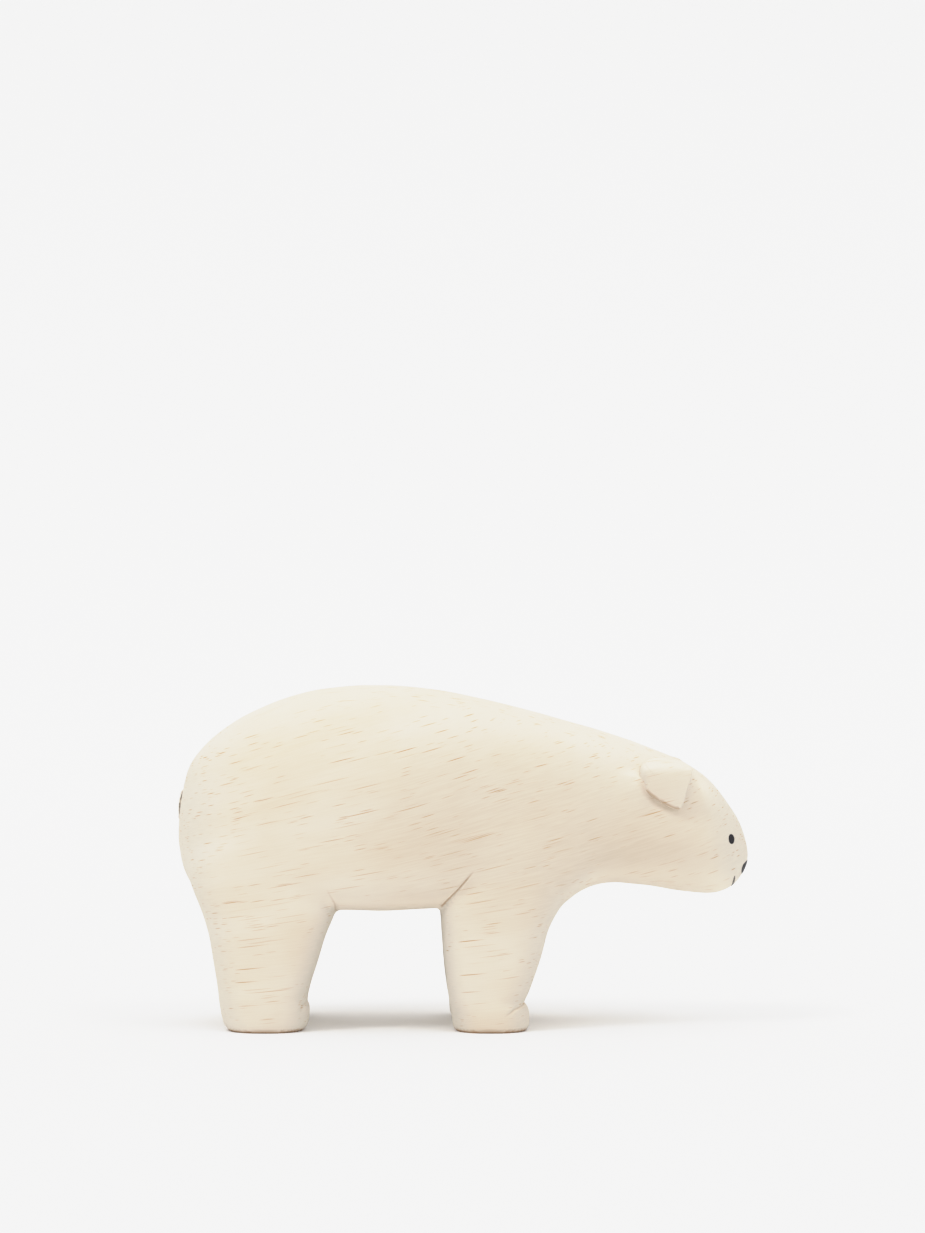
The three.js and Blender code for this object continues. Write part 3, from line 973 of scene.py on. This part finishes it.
def limewashGroup():
    inputs = (
        ("Place", "NodeSocketVector", (0, 0, 0)),
        ("Normal", "NodeSocketVector", (0, 0, 1)),
        ("Pores", "NodeSocketFloat", 0.0),
        ("Fibre", "NodeSocketFloat", 0.5),
        ("Bands", "NodeSocketFloat", 0.5),
        ("StainAndShade", "NodeSocketFloat", 0.0),
        ("Pale", "NodeSocketColor", (*finish["pale"], 1)),
        ("Warm", "NodeSocketColor", (*finish["warm"], 1)),
    )
    outputs = (("Colour", "NodeSocketColor"), ("Roughness", "NodeSocketFloat"), ("Height", "NodeSocketFloat"))
    group, bench, given, result = newGroup("limewash", inputs, outputs)
    clouds = {"Vector": given.outputs["Place"], "Scale": finish["cloudScale"], "Detail": 3.0}
    cloud = bench.add("ShaderNodeTexNoise", clouds).outputs["Fac"]
    warmth = bench.spread(given.outputs["Bands"], *finish["bandWarmth"])
    warmth = bench.maths("ADD", warmth, bench.spread(cloud, *finish["cloudWarmth"]))
    colour = bench.mix(warmth, given.outputs["Pale"], given.outputs["Warm"])
    normal = bench.add("ShaderNodeSeparateXYZ", {"Vector": given.outputs["Normal"]})
    along, across, upright = (bench.maths("ABSOLUTE", normal.outputs[axis]) for axis in ("X", "Y", "Z"))
    colour = bench.mix(bench.spread(along, *finish["endGrainShare"]), colour, finish["endGrain"])
    # Painted light: faces turned up or down get a lighter colour.
    colour = bench.mix(bench.spread(upright, *finish["paintedLightUpDown"]), colour, finish["thickCoatAndPaintedLight"])
    # Painted shade: side-facing shoulders and flanks get a darker colour.
    fromSideShade = bench.vector("SUBTRACT", given.outputs["Place"], finish["sideShadePlace"])
    fromSideShade = bench.vector("DIVIDE", fromSideShade, finish["sideShadeReach"])
    fromSideShade = bench.add("ShaderNodeVectorMath", {0: fromSideShade}, operation="LENGTH").outputs["Value"]
    paintedSideShade = bench.spread(fromSideShade, *finish["sideShadeFade"])
    paintedSideShade = bench.maths("MULTIPLY", paintedSideShade, bench.spread(across, *finish["sideShadeFacing"]))
    colour = bench.mix(bench.maths("MULTIPLY", paintedSideShade, finish["paintedSideShadeShare"]), colour, finish["paintedSideShade"])
    lifted = bench.spread(given.outputs["Fibre"], *finish["fibreLift"])
    colour = bench.mix(lifted, colour, [finish["fibrePale"] * value for value in finish["pale"]])
    dark = bench.maths("MULTIPLY", given.outputs["Pores"], finish["poreShare"])
    colour = bench.mix(dark, colour, finish["pore"])
    # Brown of the cut lines, with painted shade and painted contact shadow where the body's marks call for
    # it.
    colour = bench.mix(given.outputs["StainAndShade"], colour, finish["stainAndShade"])
    rough = bench.spread(given.outputs["Fibre"], *finish["roughness"])
    height = bench.maths("MULTIPLY", given.outputs["Pores"], finish["poreHeight"])
    height = bench.maths("MULTIPLY_ADD", given.outputs["Fibre"], finish["fibreHeight"], height)
    group.links.new(colour, result.inputs["Colour"])
    group.links.new(rough, result.inputs["Roughness"])
    group.links.new(height, result.inputs["Height"])
    return group


def newMaterial(name):
    material = bpy.data.materials.new(name)
    material.use_nodes = True
    tree = material.node_tree
    tree.nodes.clear()
    bench = NodeBench(tree)
    place = bench.add("ShaderNodeTexCoord").outputs["Object"]
    return material, bench, place


def closeMaterial(bench, shader):
    bench.add("ShaderNodeOutputMaterial", {"Surface": shader.outputs[0]})


def limewashedWood(name, groups):
    tilt, shift = woods[name]
    material, bench, place = newMaterial(name)
    field = bench.add("ShaderNodeGroup", node_tree=groups["grain"])
    bench.tree.links.new(place, field.inputs["Place"])
    bench.tree.links.new(place.node.outputs["Normal"], field.inputs["Normal"])
    field.inputs["Shift"].default_value = shift
    field.inputs["Tilt"].default_value = math.radians(tilt)
    wash = bench.add("ShaderNodeGroup", node_tree=groups["limewash"])
    bench.tree.links.new(place, wash.inputs["Place"])
    bench.tree.links.new(place.node.outputs["Normal"], wash.inputs["Normal"])
    for label in ("Pores", "Fibre", "Bands"):
        bench.tree.links.new(field.outputs[label], wash.inputs[label])
    stainAndShade = bench.add("ShaderNodeAttribute", attribute_name="stainAndShade")
    bench.tree.links.new(stainAndShade.outputs["Fac"], wash.inputs["StainAndShade"])
    bump = bench.add("ShaderNodeBump", {"Height": wash.outputs["Height"], "Distance": finish["bump"]})
    shader = bench.add(
        "ShaderNodeBsdfPrincipled",
        {
            "Base Color": wash.outputs["Colour"],
            "Roughness": wash.outputs["Roughness"],
            "Specular IOR Level": finish["specular"],
            "Normal": bump.outputs["Normal"],
        },
    )
    closeMaterial(bench, shader)
    return material


paint = {
    "thickCoatAndPaintedLight": (0.007, 0.006, 0.009),
    "thin": (0.018, 0.015, 0.021),
    "thinShare": (0.35, 0.75),
    "roughness": (0.3, 0.7, 0.48, 0.62),
    "specular": 0.2,
    "bump": 0.00003,
}


def brushedPaint(name, groups):
    material, bench, place = newMaterial(name)
    field = bench.add("ShaderNodeGroup", node_tree=groups["grain"])
    bench.tree.links.new(place, field.inputs["Place"])
    field.inputs["Tilt"].default_value = math.radians(grain["tilt"])
    thin = bench.spread(field.outputs["Fibre"], *paint["thinShare"])
    bump = bench.add("ShaderNodeBump", {"Height": field.outputs["Fibre"], "Distance": paint["bump"]})
    shader = bench.add(
        "ShaderNodeBsdfPrincipled",
        {
            "Base Color": bench.mix(thin, paint["thickCoatAndPaintedLight"], paint["thin"]),
            "Roughness": bench.spread(field.outputs["Fibre"], *paint["roughness"]),
            "Specular IOR Level": paint["specular"],
            "Normal": bump.outputs["Normal"],
        },
    )
    closeMaterial(bench, shader)
    return material


def buildSweep():
    mesh = bmesh.new()
    half = 0.5 * studio["sweepWidth"]
    radius = studio["sweepRadius"]
    profile = [(studio["sweepFront"], 0.0), (studio["sweepBack"], 0.0)]
    for step in range(1, studio["sweepSteps"] + 1):
        angle = 0.5 * math.pi * step / studio["sweepSteps"]
        profile.append((studio["sweepBack"] + radius * math.sin(angle), radius * (1 - math.cos(angle))))
    profile.append((studio["sweepBack"] + radius, studio["sweepTop"]))
    rows = [[mesh.verts.new((x, y, z)) for x in (-half, half)] for y, z in profile]
    for lower, upper in zip(rows, rows[1:]):
        mesh.faces.new((lower[0], lower[1], upper[1], upper[0]))
    sweep = newObject("paper_sweep", mesh)
    material, bench, place = newMaterial("paleSweep")
    height = bench.add("ShaderNodeSeparateXYZ", {"Vector": place}).outputs["Z"]
    speck = bench.add("ShaderNodeTexNoise", {"Vector": place, "Scale": studio["speckScale"]})
    upWall = bench.spread(height, 0.0, studio["wallHeight"])
    colour = bench.mix(upWall, studio["floorColour"], studio["wallColour"])
    bump = bench.add("ShaderNodeBump", {"Height": speck.outputs["Fac"], "Distance": studio["speckBump"]})
    shader = bench.add(
        "ShaderNodeBsdfPrincipled",
        {
            "Base Color": colour,
            "Roughness": studio["sweepRoughness"],
            "Specular IOR Level": studio["sweepSpecular"],
            "Normal": bump.outputs["Normal"],
        },
    )
    closeMaterial(bench, shader)
    sweep.data.materials.append(material)
    shadeSmooth(sweep)


def lightStudio():
    world = bpy.data.worlds.new("softRoom")
    world.use_nodes = True
    bench = NodeBench(world.node_tree)
    direction = bench.add("ShaderNodeTexCoord").outputs["Generated"]
    height = bench.add("ShaderNodeSeparateXYZ", {"Vector": direction}).outputs["Z"]
    glow = bench.spread(height, 0.0, studio["horizonTop"], studio["horizon"], studio["zenith"])
    background = world.node_tree.nodes["Background"]
    background.inputs["Color"].default_value = (*studio["worldColour"], 1)
    world.node_tree.links.new(glow, background.inputs["Strength"])
    bpy.context.scene.world = world
    for name, (way, strength, spread) in studio["keys"].items():
        lamp = bpy.data.objects.new(name, bpy.data.lights.new(name, "SUN"))
        lamp.data.energy = strength
        lamp.data.angle = math.radians(spread)
        lamp.rotation_euler = Vector(way).to_track_quat("-Z", "Y").to_euler()
        bpy.context.collection.objects.link(lamp)
    view = bpy.context.scene.view_settings
    view.view_transform = "Standard"
    view.use_curve_mapping = True
    mapping = view.curve_mapping
    mapping.clip_max_x = studio["toneCurve"][-1][0]
    curve = mapping.curves[3]
    curve.points[0].location, curve.points[1].location = studio["toneCurve"][0], studio["toneCurve"][-1]
    for spot in studio["toneCurve"][1:-1]:
        curve.points.new(*spot)
    mapping.update()


def placeCamera():
    camera = bpy.data.objects.new("sideView", bpy.data.cameras.new("sideView"))
    camera.data.lens = studio["lens"]
    camera.data.sensor_width = studio["sensor"]
    camera.location = studio["cameraPlace"]
    camera.rotation_euler = (math.radians(90), 0, 0)
    bpy.context.collection.objects.link(camera)
    bpy.context.scene.camera = camera


placeCamera()
lightStudio()
buildSweep()
print("studio set")

groups = {"grain": grainGroup(), "limewash": limewashGroup()}
bodyWood, earWood, tailWood = (limewashedWood(name, groups) for name in woods)
blackPaint = brushedPaint("blackPaint", groups)
print("finishes mixed")

body = carveBody()
finishPiece(body, bodyWood, "limewashed_wood", "body")
surface = BVHTree.FromObject(body, bpy.context.evaluated_depsgraph_get())
for side, hand in ((1, "left"), (-1, "right")):
    finishPiece(buildEar(hand + "_ear_block", side), earWood, "limewashed_wood", hand + "_ear")
    finishPiece(buildEye(hand + "_painted_eye", surface, side), blackPaint, "black_paint", hand + "_eye")
finishPiece(buildTail(surface), tailWood, "limewashed_wood", "tail")
finishPiece(buildNose(surface), blackPaint, "black_paint", "nose")
finishPiece(buildSmile(surface), blackPaint, "black_paint", "mouth")
print("ears, tail and painted marks placed")
